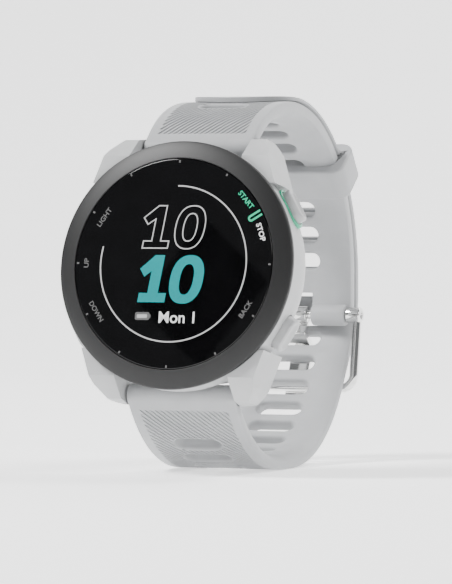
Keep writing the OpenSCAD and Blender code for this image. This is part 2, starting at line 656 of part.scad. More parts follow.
module buckle_tang() color("silver") on_pin() difference() {
    union() {
        across(0, 0, hub_r, tang_w);
        slab(0, hub_r - tang_t, tang_y + tang_t / 2, tang_t);
        slab(tang_y - tang_t / 2, hub_r - tang_t, tang_t, blade_z + tang_t - hub_r + tang_t);
        translate([0, tang_y - tang_t / 2, blade_z]) rotate([blade_a, 0, 0])
            slab(0, 0, blade_l, tang_t);
    }
    across(0, 0, pin_r + running, tang_w + 2 * over);
}

case_body();
bezel_ring();
lens_glass();
lens_mask();
display_panel();
light_guide();
inner_chassis();
main_board();
shield_cans();
battery();
vibration_motor();
buzzer();
satellite_antenna();
case_gasket();
back_cover();
back_screws();
sensor_window();
sensor_board();
charge_port();
charge_contacts();
side_switches();
button_seals();
start_accent();
start_button();
back_button();
light_button();
up_button();
down_button();
start_clip();
back_clip();
light_clip();
up_clip();
down_clip();
upper_spring_bar();
upper_release_pin();
upper_bar_spring();
lower_spring_bar();
lower_release_pin();
lower_bar_spring();
strap_upper();
strap_lower();
strap_keeper();
buckle_frame();
buckle_tang();
buckle_pin();
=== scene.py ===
# %% [markdown]
# # A running watch, standing on its closed strap
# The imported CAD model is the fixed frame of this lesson. Its nodes keep their places, and the
# pieces made here are shaped around them with bmesh operators, then given procedural finishes.
# We load the frame first and keep its box, so that the finished watch can be compared with it.

# %% Load the frame
import json
from math import atan2, cos, degrees, pi, radians, sin

import bmesh
import bpy
from mathutils import Matrix, Vector


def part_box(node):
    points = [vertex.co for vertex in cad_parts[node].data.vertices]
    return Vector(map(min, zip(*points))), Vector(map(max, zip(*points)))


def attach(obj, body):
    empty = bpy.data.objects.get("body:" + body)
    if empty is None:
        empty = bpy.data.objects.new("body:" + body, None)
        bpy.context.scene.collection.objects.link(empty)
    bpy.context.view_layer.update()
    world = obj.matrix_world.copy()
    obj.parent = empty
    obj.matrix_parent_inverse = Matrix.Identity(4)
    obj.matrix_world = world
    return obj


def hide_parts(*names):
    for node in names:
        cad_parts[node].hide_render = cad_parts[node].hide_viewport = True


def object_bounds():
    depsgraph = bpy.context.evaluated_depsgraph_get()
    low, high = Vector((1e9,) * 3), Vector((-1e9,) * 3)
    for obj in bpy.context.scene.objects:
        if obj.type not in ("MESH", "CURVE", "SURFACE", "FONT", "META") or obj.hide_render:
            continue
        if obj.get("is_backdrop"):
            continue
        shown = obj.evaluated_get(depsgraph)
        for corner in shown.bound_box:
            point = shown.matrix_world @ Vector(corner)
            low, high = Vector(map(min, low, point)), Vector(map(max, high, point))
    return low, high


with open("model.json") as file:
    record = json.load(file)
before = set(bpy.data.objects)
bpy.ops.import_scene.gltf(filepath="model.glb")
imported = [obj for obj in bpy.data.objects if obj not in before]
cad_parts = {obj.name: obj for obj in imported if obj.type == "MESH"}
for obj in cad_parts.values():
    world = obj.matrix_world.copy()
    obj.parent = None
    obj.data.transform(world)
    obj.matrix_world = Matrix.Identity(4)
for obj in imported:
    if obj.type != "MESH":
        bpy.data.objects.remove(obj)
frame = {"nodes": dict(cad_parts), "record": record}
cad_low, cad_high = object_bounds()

MM = 0.001
print("CAD box in mm:", [round(v / MM, 1) for v in (*cad_low, *cad_high)])

# %% [markdown]
# ## The case's own frame
# A watch is drawn looking straight at its dial: x to 3 o'clock, y to 12 o'clock and z out of
# the dial. Here the dial leans back ten degrees, so one matrix carries that drawing, in
# millimetres, into the stance. Its origin is the middle of the bezel's lower edge, found from
# the bezel's box.

# %% The case matrix
LEAN = radians(10)
BEZEL_RISE, BEZEL_SIDE = 1.25, 0.6
ring_low, ring_high = (Vector(v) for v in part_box("bezel_ring"))
tilt = Matrix.Rotation(pi / 2 - LEAN, 4, "X")
# its outer rim is a short drum, so its box is that of two leaning discs, front and back
RIM_FRONT = 0.1
ring_r = (ring_high.x - ring_low.x) / 2 / MM
dial_middle = Vector((0, 0, (ring_high.z + ring_low.z) / 2))
dial_middle.z += (BEZEL_SIDE + RIM_FRONT) / 2 * MM * sin(LEAN)
dial_middle.y = ring_high.y - (ring_r * sin(LEAN) + BEZEL_SIDE * cos(LEAN)) * MM
CASE = Matrix.Translation(dial_middle) @ tilt @ Matrix.Scale(MM, 4)
print("dial middle in mm:", [round(v / MM, 3) for v in dial_middle], "bezel radius", ring_r)

# %% [markdown]
# ## The camera
# The view is a long lens from slightly to the right of the dial and almost level with it.
# It comes first, so that every later piece can be judged through it.

# %% Place the camera
VIEW_TURN, VIEW_RISE, VIEW_FAR = radians(22.293), radians(1.228), 750 * MM
to_right = Vector((cos(VIEW_TURN), sin(VIEW_TURN), 0))
to_camera = Vector((sin(VIEW_TURN) * cos(VIEW_RISE), -cos(VIEW_TURN) * cos(VIEW_RISE),
                    sin(VIEW_RISE)))
to_top = to_camera.cross(to_right)
camera_data = bpy.data.cameras.new("studio_camera")
camera_data.sensor_width = 36
camera_data.lens = 278.3
camera_data.clip_start, camera_data.clip_end = 0.01, 20
camera = bpy.data.objects.new("studio_camera", camera_data)
aim_x, aim_y = 8.352 * MM, -4.520 * MM
where = dial_middle + aim_x * to_right + aim_y * to_top + VIEW_FAR * to_camera
turn = Matrix((to_right, to_top, to_camera)).transposed().to_4x4()
camera.matrix_world = Matrix.Translation(where) @ turn
bpy.context.scene.collection.objects.link(camera)
bpy.context.scene.camera = camera
print("camera stands", round(where.length / MM), "mm away")

# %% [markdown]
# ## Finishes
# Moulded parts are never one flat colour: their skin has a fine spark-eroded grain, and their
# tone drifts a little. One helper makes that skin from two noises on Object coordinates, a
# broad one for tone and roughness and a fine one for grain. Values that are the same all over
# stay on the shader's own sockets.

# %% Helpers for materials
def ramp(tree, source, low, high, start=0.3, end=0.7):
    node = tree.nodes.new("ShaderNodeValToRGB")
    node.color_ramp.elements[0].position, node.color_ramp.elements[1].position = start, end
    node.color_ramp.elements[0].color = low
    node.color_ramp.elements[1].color = high
    tree.links.new(source, node.inputs["Fac"])
    return node.outputs["Color"]


def noise(tree, scale, detail=3.0, squash=None):
    coords = tree.nodes.new("ShaderNodeTexCoord")
    node = tree.nodes.new("ShaderNodeTexNoise")
    node.inputs["Scale"].default_value = scale
    node.inputs["Detail"].default_value = detail
    source = coords.outputs["Object"]
    if squash:
        mapping = tree.nodes.new("ShaderNodeMapping")
        mapping.inputs["Scale"].default_value = squash
        tree.links.new(source, mapping.inputs["Vector"])
        source = mapping.outputs["Vector"]
    tree.links.new(source, node.inputs["Vector"])
    return node.outputs["Fac"]


def finish(name, colour, rough, metal=0.0, drift=0.04, grain=7000, depth=0.02, spread=0.06,
           coat=0.0, squash=None, sheen=0.0, edge=0.0):
    """A skin of one colour: tone drift, uneven roughness and a fine grain."""
    material = bpy.data.materials.new(name)
    material.use_nodes = True
    tree = material.node_tree
    skin = tree.nodes["Principled BSDF"]
    skin.inputs["Metallic"].default_value = metal
    skin.inputs["Coat Weight"].default_value = coat
    skin.inputs["Coat Roughness"].default_value = 0.08
    skin.inputs["Sheen Weight"].default_value = sheen
    dark = [max(c * (1 - drift), 0) for c in colour]
    pale = [min(c * (1 + drift), 1) for c in colour]
    tone = ramp(tree, noise(tree, 260, 4), (*dark, 1), (*pale, 1))
    tree.links.new(tone, skin.inputs["Base Color"])
    low, high = max(rough - spread, 0.02), min(rough + spread, 1)
    fine = noise(tree, grain, 2, squash)
    shine = ramp(tree, fine, (low, low, low, 1), (high, high, high, 1), 0.2, 0.8)
    tree.links.new(shine, skin.inputs["Roughness"])
    bump = tree.nodes.new("ShaderNodeBump")
    bump.inputs["Strength"].default_value = 0.5
    bump.inputs["Distance"].default_value = depth * MM
    tree.links.new(fine, bump.inputs["Height"])
    tree.links.new(bump.outputs["Normal"], skin.inputs["Normal"])
    return material


# %% [markdown]
# ### The watch's palette
# Silicone is matt with a slight sheen, the case's filled polymer is satin, the bezel is nearly
# black, and the buckle is polished steel whose roughness hardly varies. The inner pieces get
# the finishes of real ones too: tinned cans, foil, green solder mask and gold contacts.

# %% Make the palette
PALE = (0.43, 0.435, 0.44)
palette = {
    "case_polymer": finish("case_polymer", PALE, 0.42, depth=0.012, grain=9000),
    "button_plastic": finish("button_plastic", (0.42, 0.425, 0.43), 0.34, depth=0.008),
    "strap_silicone": finish("strap_silicone", (0.37, 0.376, 0.385), 0.58, depth=0.02,
                             grain=6000, sheen=0.15),
    "bezel_polymer": finish("bezel_polymer", (0.003, 0.003, 0.0033), 0.5, depth=0.008,
                            grain=11000, drift=0.15),
    "lens_glass": finish("lens_glass", (0.0015, 0.0015, 0.0018), 0.05, depth=0.0002, spread=0.01,
                         drift=0.3),
    "mask_ink": finish("mask_ink", (0.004, 0.004, 0.004), 0.3),
    "display_glass": finish("display_glass", (0.01, 0.011, 0.013), 0.15, coat=0.6),
    "guide_plastic": finish("guide_plastic", (0.8, 0.8, 0.74), 0.2, coat=0.3),
    "chassis_plastic": finish("chassis_plastic", (0.03, 0.032, 0.035), 0.5, drift=0.2),
    "circuit_board": finish("circuit_board", (0.012, 0.09, 0.04), 0.3, coat=0.5, drift=0.35),
    "shield_steel": finish("shield_steel", (0.62, 0.61, 0.58), 0.32, metal=1.0,
                           squash=(1, 0.06, 0.06)),
    "cell_foil": finish("cell_foil", (0.55, 0.56, 0.58), 0.36, metal=1.0, depth=0.05),
    "motor_steel": finish("motor_steel", (0.6, 0.6, 0.61), 0.28, metal=1.0),
    "brass_disc": finish("brass_disc", (0.72, 0.52, 0.2), 0.3, metal=1.0),
    "antenna_brass": finish("antenna_brass", (0.78, 0.6, 0.28), 0.25, metal=1.0),
    "seal_rubber": finish("seal_rubber", (0.012, 0.012, 0.012), 0.7, drift=0.2),
    "screw_steel": finish("screw_steel", (0.55, 0.55, 0.56), 0.3, metal=1.0),
    "window_plastic": finish("window_plastic", (0.004, 0.004, 0.005), 0.08, coat=0.8,
                             depth=0.002),
    "port_plastic": finish("port_plastic", (0.02, 0.02, 0.022), 0.45, drift=0.2),
    "contact_gold": finish("contact_gold", (0.85, 0.62, 0.22), 0.22, metal=1.0),
    "switch_plastic": finish("switch_plastic", (0.015, 0.015, 0.017), 0.4),
    "accent_plastic": finish("accent_plastic", (0.012, 0.36, 0.19), 0.3, depth=0.006, coat=0.2),
    "clip_steel": finish("clip_steel", (0.55, 0.55, 0.55), 0.34, metal=1.0),
    "bar_steel": finish("bar_steel", (0.62, 0.62, 0.61), 0.26, metal=1.0,
                        squash=(0.05, 1, 1)),
    "buckle_steel": finish("buckle_steel", (0.78, 0.78, 0.77), 0.12, metal=1.0, depth=0.001,
                           spread=0.03, drift=0.02),
}
wears = {row["node"]: row["material_slot"] for row in frame["record"]["subparts"]}
for node_name, cad_piece in frame["nodes"].items():
    cad_piece.data.materials.clear()
    cad_piece.data.materials.append(palette[wears[node_name]])
print(len(palette), "finishes on", len(wears), "nodes")

# %% [markdown]
# ## From bmesh to a finished piece
# Every new piece ends the same way. The bmesh is carried into place, its doubles are merged
# and its normals point outwards. Smooth shading keeps its sharp edges where faces meet at more
# than a chosen angle, and the CAD node that the piece stands for is hidden.

# %% Helpers for pieces
def settle(name, bm, body, slot_name, stands_for=(), matrix=CASE, crease=35, merge=1e-5,
           recalc=True):
    """Turns a bmesh drawn in millimetres into a piece that rides on its body."""
    bmesh.ops.remove_doubles(bm, verts=bm.verts, dist=merge)
    bmesh.ops.transform(bm, matrix=matrix, verts=bm.verts)
    if recalc:
        bmesh.ops.recalc_face_normals(bm, faces=bm.faces)
    mesh = bpy.data.meshes.new(name)
    bm.to_mesh(mesh)
    bm.free()
    mesh.shade_smooth()
    mesh.set_sharp_from_angle(angle=radians(crease))
    piece = bpy.data.objects.new(name, mesh)
    bpy.context.scene.collection.objects.link(piece)
    mesh.materials.append(palette[slot_name])
    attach(piece, body)
    if stands_for:
        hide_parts(*stands_for)
    print(name, len(mesh.polygons), "faces")
    return piece


def soften(bm, width, segments=3, sharper=25, faces=None):
    """Rounds every edge whose faces meet at more than the given angle."""
    edges = [e for e in bm.edges if len(e.link_faces) == 2
             and degrees(e.calc_face_angle(0)) > sharper]
    bmesh.ops.bevel(bm, geom=edges, offset=width, offset_type="OFFSET", affect="EDGES",
                    segments=segments, profile=0.5, material=-1, clamp_overlap=True)


def lathe(points, steps=160):
    """A profile of (radius, height) pairs spun round z."""
    bm = bmesh.new()
    verts = [bm.verts.new((r, 0, z)) for r, z in points]
    edges = [bm.edges.new(pair) for pair in zip(verts, verts[1:])]
    bmesh.ops.spin(bm, geom=verts + edges, cent=(0, 0, 0), axis=(0, 0, 1), angle=2 * pi,
                   steps=steps, use_merge=True)
    bmesh.ops.remove_doubles(bm, verts=bm.verts, dist=1e-4)
    return bm


def arc_points(cx, cy, r, start, end, count=6):
    """Points on an arc, in degrees, for a rounded corner of a profile."""
    turns = [radians(start + (end - start) * k / count) for k in range(count + 1)]
    return [(cx + r * cos(t), cy + r * sin(t)) for t in turns]


# %% [markdown]
# ## The bezel
# The bezel is a turned ring with a long slope towards the glass and a small soft rim. A lathe
# profile with real corner arcs gives the thin highlights that a sharp cone lacks.

# %% Turn the bezel
BEZEL_R, BEZEL_IN_R, GLASS_R = 20.9, 17.8, 17.7
GLASS_TOP = BEZEL_RISE - 0.05
profile = [(BEZEL_IN_R, -0.4), (BEZEL_IN_R, BEZEL_RISE - 0.13)]
profile += arc_points(BEZEL_IN_R + 0.12, BEZEL_RISE - 0.14, 0.12, 180, 65)
profile += [(18.9, 1.03), (19.9, 0.62)]
profile += arc_points(BEZEL_R - 0.45, -0.06, 0.45, 62, 0)
profile += arc_points(BEZEL_R - 0.1, -BEZEL_SIDE + 0.1, 0.1, 0, -90, 3)
profile += [(BEZEL_IN_R - 1.0, -BEZEL_SIDE), (BEZEL_IN_R - 1.0, -0.4), (BEZEL_IN_R, -0.4)]
settle("bezel_turned", lathe(profile, 192), "watch", "bezel_polymer", ["bezel_ring"])

# %% [markdown]
# ## The glass
# The lens is a flat disc with a ground edge. It is modelled as black glass: the mask and the
# display behind it are dark, so what the eye sees is a deep black with a clear reflection.

# %% Grind the glass
profile = [(0, 0.3), (GLASS_R, 0.3), (GLASS_R, GLASS_TOP - 0.16)]
profile += arc_points(GLASS_R - 0.16, GLASS_TOP - 0.16, 0.16, 0, 90, 5)
profile += [(0, GLASS_TOP)]
settle("lens_ground", lathe(profile, 160), "watch", "lens_glass", ["lens_glass"],
       crease=50)

# %% [markdown]
# ## The case
# The CAD case already has the right body, lugs and button pockets, but its edges are dead
# sharp, and moulded polymer never is. A copy is merged, its flat fans are dissolved back to
# clean faces, and a narrow bevel rounds every edge.

# %% Round the case's edges
def rounded_copy(name, node, width, body="watch", sharper=28, dissolve=2.0, segments=2,
                 crease=32):
    """A CAD node's shape with its edges rounded, standing for the node."""
    bm = bmesh.new()
    bm.from_mesh(frame["nodes"][node].data)
    bmesh.ops.scale(bm, vec=(1 / MM,) * 3, verts=bm.verts)
    bmesh.ops.remove_doubles(bm, verts=bm.verts, dist=2e-4)
    bmesh.ops.dissolve_degenerate(bm, edges=bm.edges, dist=2e-4)
    bmesh.ops.dissolve_limit(bm, angle_limit=radians(dissolve), verts=bm.verts,
                             edges=bm.edges, use_dissolve_boundaries=False)
    piece = settle(name, bm, body, wears[node], [node], Matrix.Scale(MM, 4), crease, 1e-6)
    bevel = piece.modifiers.new("soft_edges", "BEVEL")
    bevel.width = width * MM
    bevel.segments = segments
    bevel.limit_method = "ANGLE"
    bevel.angle_limit = radians(sharper)
    bevel.harden_normals = True
    return piece


rounded_copy("case_rounded", "case_body", 0.16)
rounded_copy("back_cover_rounded", "back_cover", 0.1)

# %% [markdown]
# ## The buttons
# Each cap is an oval plug with a soft shoulder and a thumb-shaped dish in its face. A round
# plug is turned on the lathe, and its two halves are pulled apart, which makes the straight
# sides. The cap's local z points out of the case at its hour.

# %% Mould the caps
CAP_LONG, CAP_HIGH, BUTTON_Z, POCKET_R, CAP_OUT_R = 6.0, 3.2, -5.0, 19.3, 22.2
SHAFT_R, SHAFT_LONG, SHAFT_TOP = 0.8, 3.9, POCKET_R + 0.75
HOURS = {"start": 30, "back": -30, "light": 150, "up": 180, "down": 210}


def at_hour(angle):
    """Local x along the case's side, local y towards the dial, local z out of the case."""
    swap = Matrix(((0, 0, 1, 0), (1, 0, 0, 0), (0, 1, 0, 0), (0, 0, 0, 1)))
    side = Matrix.Rotation(radians(angle), 4, "Z") @ Matrix.Translation((0, 0, BUTTON_Z))
    return CASE @ side @ swap


def oval(points, apart, steps=64):
    """A turned plug whose halves are pulled apart along x, so that it turns into an oval."""
    bm = lathe(points, steps)
    bmesh.ops.rotate(bm, cent=(0, 0, 0), verts=bm.verts,
                     matrix=Matrix.Rotation(pi / steps, 3, "Z"))
    for side in (-1, 1):
        half = [v for v in bm.verts if v.co.x * side > 1e-4]
        bmesh.ops.translate(bm, vec=(side * apart, 0, 0), verts=half)
    return bm


cap_r = CAP_HIGH / 2
cap_profile = [(0, CAP_OUT_R - 0.34), (0.45, CAP_OUT_R - 0.32), (0.8, CAP_OUT_R - 0.22),
               (1.05, CAP_OUT_R - 0.06), (1.18, CAP_OUT_R)]
cap_profile += arc_points(cap_r - 0.36, CAP_OUT_R - 0.38, 0.36, 80, 0, 5)
cap_profile += [(cap_r, POCKET_R + 0.7), (0, POCKET_R + 0.7)]
for hour, angle in HOURS.items():
    cap = oval(cap_profile, (CAP_LONG - CAP_HIGH) / 2)
    shaft = bmesh.ops.create_cone(cap, cap_ends=True, segments=24, radius1=SHAFT_R,
                                  radius2=SHAFT_R, depth=SHAFT_LONG)["verts"]
    bmesh.ops.translate(cap, vec=(0, 0, SHAFT_TOP - SHAFT_LONG / 2), verts=shaft)
    settle(hour + "_cap", cap, hour + "_key", "button_plastic", [hour + "_button"],
           at_hour(angle), crease=50)

# %% [markdown]
# ## The green collar
# The key that starts and stops has a coloured collar in the case wall. It is the same oval
# idea as a ring: the profile is closed on itself, so the lathe makes a tube with soft lips.

# %% Mould the collar
COLLAR_IN, COLLAR_WIDE, COLLAR_LOW, COLLAR_HIGH = 1.75, 0.5, 20.0, 20.93
lip = COLLAR_WIDE / 2
collar_profile = [(COLLAR_IN, COLLAR_LOW), (COLLAR_IN, COLLAR_HIGH - lip)]
collar_profile += arc_points(COLLAR_IN + lip, COLLAR_HIGH - lip, lip, 170, 10, 6)
collar_profile += [(COLLAR_IN + COLLAR_WIDE, COLLAR_HIGH - lip),
                   (COLLAR_IN + COLLAR_WIDE, COLLAR_LOW), (COLLAR_IN, COLLAR_LOW)]
settle("start_collar", oval(collar_profile, (CAP_LONG - CAP_HIGH) / 2), "watch",
       "accent_plastic", ["start_accent"], at_hour(HOURS["start"]), crease=50)

# %% [markdown]
# ## The strap's route
# A strap is drawn flat, as it is moulded, and then wrapped along its route round the wrist.
# The route is a chain of bends and straight stretches on the face that touches the wrist. A
# state is a place and a heading, and a station says how far along the route a point lies.

# %% Walk along a route
LUG_END_R, TAIL_GAP = 1.9, 0.1
UPPER_T, LOWER_T, TAIL_T = 2.9, 2.4, 1.9


def onward(state, step, share=1.0):
    """The state after a share of one step, a bend of (radius, turn) or (0, length)."""
    y, z, heading = state
    radius, amount = step[0], step[1] * share
    if radius == 0:
        return y + amount * cos(heading), z + amount * sin(heading), heading
    side = 1 if amount > 0 else -1
    after = heading + radians(amount)
    return (y + side * radius * (sin(after) - sin(heading)),
            z - side * radius * (cos(after) - cos(heading)), after)


def length_of(step):
    return step[1] if step[0] == 0 else step[0] * abs(radians(step[1]))


def state_at(start, route, station):
    """Where a station lies: the state and the number of its step."""
    state = start
    for k, step in enumerate(route):
        long = length_of(step)
        if station <= long or k == len(route) - 1:
            return onward(state, step, station / long), k
        state, station = onward(state, step), station - long


def off(state, height):
    """A point at a height to the left of the heading."""
    return state[0] - height * sin(state[2]), state[1] + height * cos(state[2])


def leant(y, z):
    """A place in the case's drawing as it stands, seen from the side."""
    return y * sin(LEAN) - z * cos(LEAN), y * cos(LEAN) + z * sin(LEAN)


BAR_Y, BAR_Z = 20.9, -7.6
RISE, FALL = radians(47), radians(-57)
upper_bar, lower_bar = leant(BAR_Y, BAR_Z), leant(-BAR_Y, BAR_Z)
upper_start = (*off((*upper_bar, RISE), LUG_END_R - UPPER_T), RISE)
# outer radius of each bend in mm, its turn in degrees, and the straight drop at the back
SHOULDER_BEND, CROWN_BEND, BACK_BEND, END_BEND = 21, 32, 30, 9.9
FRONT_BEND, HEEL_BEND = 27, 28
FRONT_TURN, HEEL_TURN, CROWN_TURN, BACK_TURN, END_TURN = 57, 55, 28.8, 75.6, 22.6
DROP, TAIL_TURN = 4.1, 21.3
upper_outer = [(SHOULDER_BEND, -32.6), (CROWN_BEND, -CROWN_TURN), (BACK_BEND, -BACK_TURN),
               (0, DROP), (END_BEND, -END_TURN)]
upper_route = [(r - UPPER_T if r else 0, turn) for r, turn in upper_outer]
lower_start = (*off((*lower_bar, FALL), -(LUG_END_R - LOWER_T)), FALL)
outer_state = (*off((*lower_bar, FALL), -LUG_END_R), FALL)
floor_z = outer_state[1] - FRONT_BEND * (1 - cos(FALL))
state = (*off((*upper_bar, RISE), LUG_END_R), RISE)
for step in upper_outer[:4]:
    state = onward(state, step)
end_y, end_z = state[0] - END_BEND, state[1]
heel = radians(HEEL_TURN)
join_y = end_y + (END_BEND + TAIL_GAP + LOWER_T) * sin(heel)
join_z = end_z - (END_BEND + TAIL_GAP + LOWER_T) * cos(heel)
flat_y = outer_state[0] - FRONT_BEND * sin(FALL)
reach = (join_z - floor_z - HEEL_BEND * (1 - cos(heel))) / sin(heel)
flat = join_y - flat_y - HEEL_BEND * sin(heel) - reach * cos(heel)
lower_route = [(FRONT_BEND - LOWER_T, FRONT_TURN), (0, flat),
               (HEEL_BEND - LOWER_T, HEEL_TURN), (0, reach),
               (END_BEND + TAIL_GAP, 90 - HEEL_TURN), (0, DROP),
               (BACK_BEND + TAIL_GAP, BACK_TURN), (CROWN_BEND + TAIL_GAP, TAIL_TURN)]
lower_total = sum(length_of(s) for s in lower_route)
upper_total = sum(length_of(s) for s in upper_route)
print("straps in mm:", round(lower_total, 1), round(upper_total, 1), "flat", round(flat, 2),
      "reach", round(reach, 2), "floor", round(floor_z, 3))

# %% [markdown]
# ## Where the slots go
# The slots sit at an even pitch on the face that the CAD measured them on. Each one is found
# as a step of the route and a share of that step, so it lands at the same place on the face
# used here, whose bends have other radii.

# %% Place the slots
PITCH, SLOT_W, SLOT_LONG = 5.2, 2.7, 8.3
lower_outer = [(FRONT_BEND, FRONT_TURN), (0, flat), (HEEL_BEND, HEEL_TURN), (0, reach)]
tang_station = sum(length_of(s) for s in lower_outer) - SLOT_W / 2 - 0.35
slot_zero = sum(length_of(s) for s in upper_outer[:3]) - 2.6


def shares(route, stations):
    found = []
    for station in stations:
        k = 0
        while k < len(route) - 1 and station > length_of(route[k]):
            station -= length_of(route[k])
            k += 1
        found.append((k, station / length_of(route[k])))
    return found


def stations(route, found):
    ends = [sum(length_of(s) for s in route[:k]) for k in range(len(route))]
    return [ends[k] + share * length_of(route[k]) for k, share in found]


upper_slots = stations(upper_route, shares(
    upper_outer, [slot_zero - k * PITCH for k in range(11) if slot_zero - k * PITCH > 11]))
lower_slots = stations(lower_route, shares(
    lower_outer, [tang_station - k * PITCH for k in range(12) if tang_station - k * PITCH > 8]))
tail_outer = upper_outer[:4] + [(END_BEND, HEEL_TURN - 90)]
tail_end = sum(length_of(s) for s in upper_outer[:2])
tail_slots = stations(lower_route, [(8 - k, 1 - share) for k, share in shares(
    tail_outer, [slot_zero - k * PITCH for k in range(-2, 8)
                 if slot_zero - k * PITCH > tail_end + 1])])
print("slots:", len(upper_slots), len(lower_slots), len(tail_slots))

# %% [markdown]
# ## One strap, moulded flat
# The section is a strip with wide soft edges on the wrist's side and small ones outside. It is
# extruded once. Flared oval plugs then cut the slots with a Boolean, which leaves the rolled
# rims that real slots have. Straight cuts across the outer face make the ribs: each rib has
# four cut lines, and a cut every millimetre gives those lines points all along. The two lines
# beside each valley are then sunk, so the valleys are real geometry. The same cuts let the
# strip bend smoothly when it is wrapped along its route.

# %% Helpers for the strap
STRAP_W, RIB_PITCH, RIB_DEEP, MARGIN = 19.7, 0.72, 0.22, 1.8
RIB_TURN = radians(49)


def strip(width, thick, y1, y2):
    """The strap's section, extruded from y1 to y2, with z = 0 on the wrist's side."""
    half = width / 2
    right = [(half - 2.9, 0), (half - 1.9, 0.1), (half - 1.1, 0.3), (half - 0.45, 0.62),
             (half - 0.1, 0.95), (half, 1.3), (half, thick - 0.45), (half - 0.1, thick - 0.16),
             (half - 0.3, thick - 0.03), (half - 0.5, thick)]
    outline = right + [(-x, z) for x, z in reversed(right)]
    bm = bmesh.new()
    face = bm.faces.new([bm.verts.new((x, y1, z)) for x, z in outline])
    grown = bmesh.ops.extrude_face_region(bm, geom=[face])["geom"]
    verts = [g for g in grown if isinstance(g, bmesh.types.BMVert)]
    bmesh.ops.translate(bm, vec=(0, y2 - y1, 0), verts=verts)
    bmesh.ops.recalc_face_normals(bm, faces=bm.faces)
    return bm


def slot_plugs(places, thick):
    """Flared oval plugs for all the slots of one strap, in one mesh."""
    r = SLOT_W / 2
    profile = [(0, -0.6), (r + 0.75, -0.6), (r + 0.55, -0.02), (r + 0.28, 0.08),
               (r + 0.1, 0.26), (r, 0.55), (r, thick - 0.5), (r + 0.08, thick - 0.24),
               (r + 0.24, thick - 0.07), (r + 0.5, thick + 0.02), (r + 0.7, thick + 0.6),
               (0, thick + 0.6)]
    joined = bmesh.new()
    for place in places:
        plug = oval(profile, (SLOT_LONG - SLOT_W) / 2, 32)
        bmesh.ops.translate(plug, vec=(0, place, 0), verts=plug.verts)
        scrap = bpy.data.meshes.new("plug")
        plug.to_mesh(scrap)
        plug.free()
        joined.from_mesh(scrap)
        bpy.data.meshes.remove(scrap)
    bmesh.ops.recalc_face_normals(joined, faces=joined.faces)
    return joined


def cut(bm, tool):
    """bm minus tool, by a Boolean on two scratch objects."""
    things = []
    for part in (bm, tool):
        mesh = bpy.data.meshes.new("scratch")
        part.to_mesh(mesh)
        part.free()
        things.append(bpy.data.objects.new("scratch", mesh))
        bpy.context.scene.collection.objects.link(things[-1])
    modifier = things[0].modifiers.new("cut", "BOOLEAN")
    modifier.operation, modifier.solver = "DIFFERENCE", "EXACT"
    modifier.object = things[1]
    seen = things[0].evaluated_get(bpy.context.evaluated_depsgraph_get())
    result = bmesh.new()
    result.from_mesh(seen.to_mesh())
    for thing in things:
        bpy.data.objects.remove(thing)
    return result


def slice_faces(bm, faces, point, normal):
    """Cuts only the given faces and their edges with a plane."""
    edges = {e for f in faces for e in f.edges}
    verts = {v for f in faces for v in f.verts}
    bmesh.ops.bisect_plane(bm, geom=[*faces, *edges, *verts], dist=1e-5, plane_co=point,
                           plane_no=normal)


def cross_cuts(bm, total):
    """Cuts the whole strip straight across, about every millimetre."""
    for k in range(1, int(total)):
        bmesh.ops.bisect_plane(bm, geom=[*bm.verts, *bm.edges, *bm.faces], dist=1e-5,
                               plane_co=(0, k * total / int(total), 0), plane_no=(0, 1, 0))


def rib(bm, thick, y1, y2, half, total):
    """Diagonal ribs on the outer face, from y1 to y2 and half a width each way."""
    def outer():
        return [f for f in bm.faces if f.normal.z > 0.99
                and all(v.co.z > thick - 1e-3 for v in f.verts)]
    for x in (-half, 0.25 - half, half - 0.25, half):
        slice_faces(bm, outer(), (x, 0, 0), (1, 0, 0))
    for y in (y1, y2):
        slice_faces(bm, outer(), (0, y, 0), (0, 1, 0))
    along = Vector((-sin(RIB_TURN), cos(RIB_TURN), 0))
    reach_out = half * sin(RIB_TURN)
    count = int(((y2 - y1) * cos(RIB_TURN) + 2 * reach_out) / RIB_PITCH)
    first = y1 * cos(RIB_TURN) - reach_out
    marks = []
    for k in range(count + 1):
        for part in (0.0, 0.3, 0.65, 0.95):
            where_to = along * (first + (k + part) * RIB_PITCH)
            low_y = where_to.dot(along)
            near = [f for f in bm.faces if f.normal.z > 0.99 and min(
                v.co.dot(along) for v in f.verts) < low_y < max(
                v.co.dot(along) for v in f.verts) and all(
                v.co.z > thick - 1e-3 and abs(v.co.x) < half + 1e-3 and
                y1 - 1e-3 < v.co.y < y2 + 1e-3 for v in f.verts)]
            if near:
                slice_faces(bm, near, where_to, along)
    cross_cuts(bm, total)
    for f in bm.faces:
        f.normal_update()
    for v in bm.verts:
        if (v.co.z > thick - 1e-3 and abs(v.co.x) < half - 1e-2
                and y1 + 1e-2 < v.co.y < y2 - 1e-2):
            part = ((v.co.dot(along) - first) / RIB_PITCH) % 1
            if 0.6 < part < 0.99 and all(f.normal.z > 0.9 for f in v.link_faces):
                marks.append(v)
    for v in marks:
        v.co.z -= RIB_DEEP
    print("ribs:", count, "sunk points:", len(marks))


def wrap(bm, route, start, side, thick_at, thick):
    """Bends the flat strip along its route; side is 1 if its outer face is to the left."""
    for v in bm.verts:
        here, _ = state_at(start, route, max(v.co.y, 0))
        height = v.co.z / thick * thick_at(v.co.y)
        y, z = off(here, side * height)
        v.co = (v.co.x, y + min(v.co.y, 0) * cos(here[2]), z + min(v.co.y, 0) * sin(here[2]))


STANCE = Matrix.Translation(dial_middle) @ Matrix.Scale(MM, 4)


def smooth_step(x, low, high):
    t = min(max((x - low) / (high - low), 0), 1)
    return t * t * (3 - 2 * t)


# %% [markdown]
# ## The two straps
# The buckle-side strap ends in two knuckles round the buckle's pin, with a notch between them
# for the tang. The long strap starts on its own bar, passes under the wrist, through the
# buckle, and lies over the first strap, where it grows thinner towards its round tip.

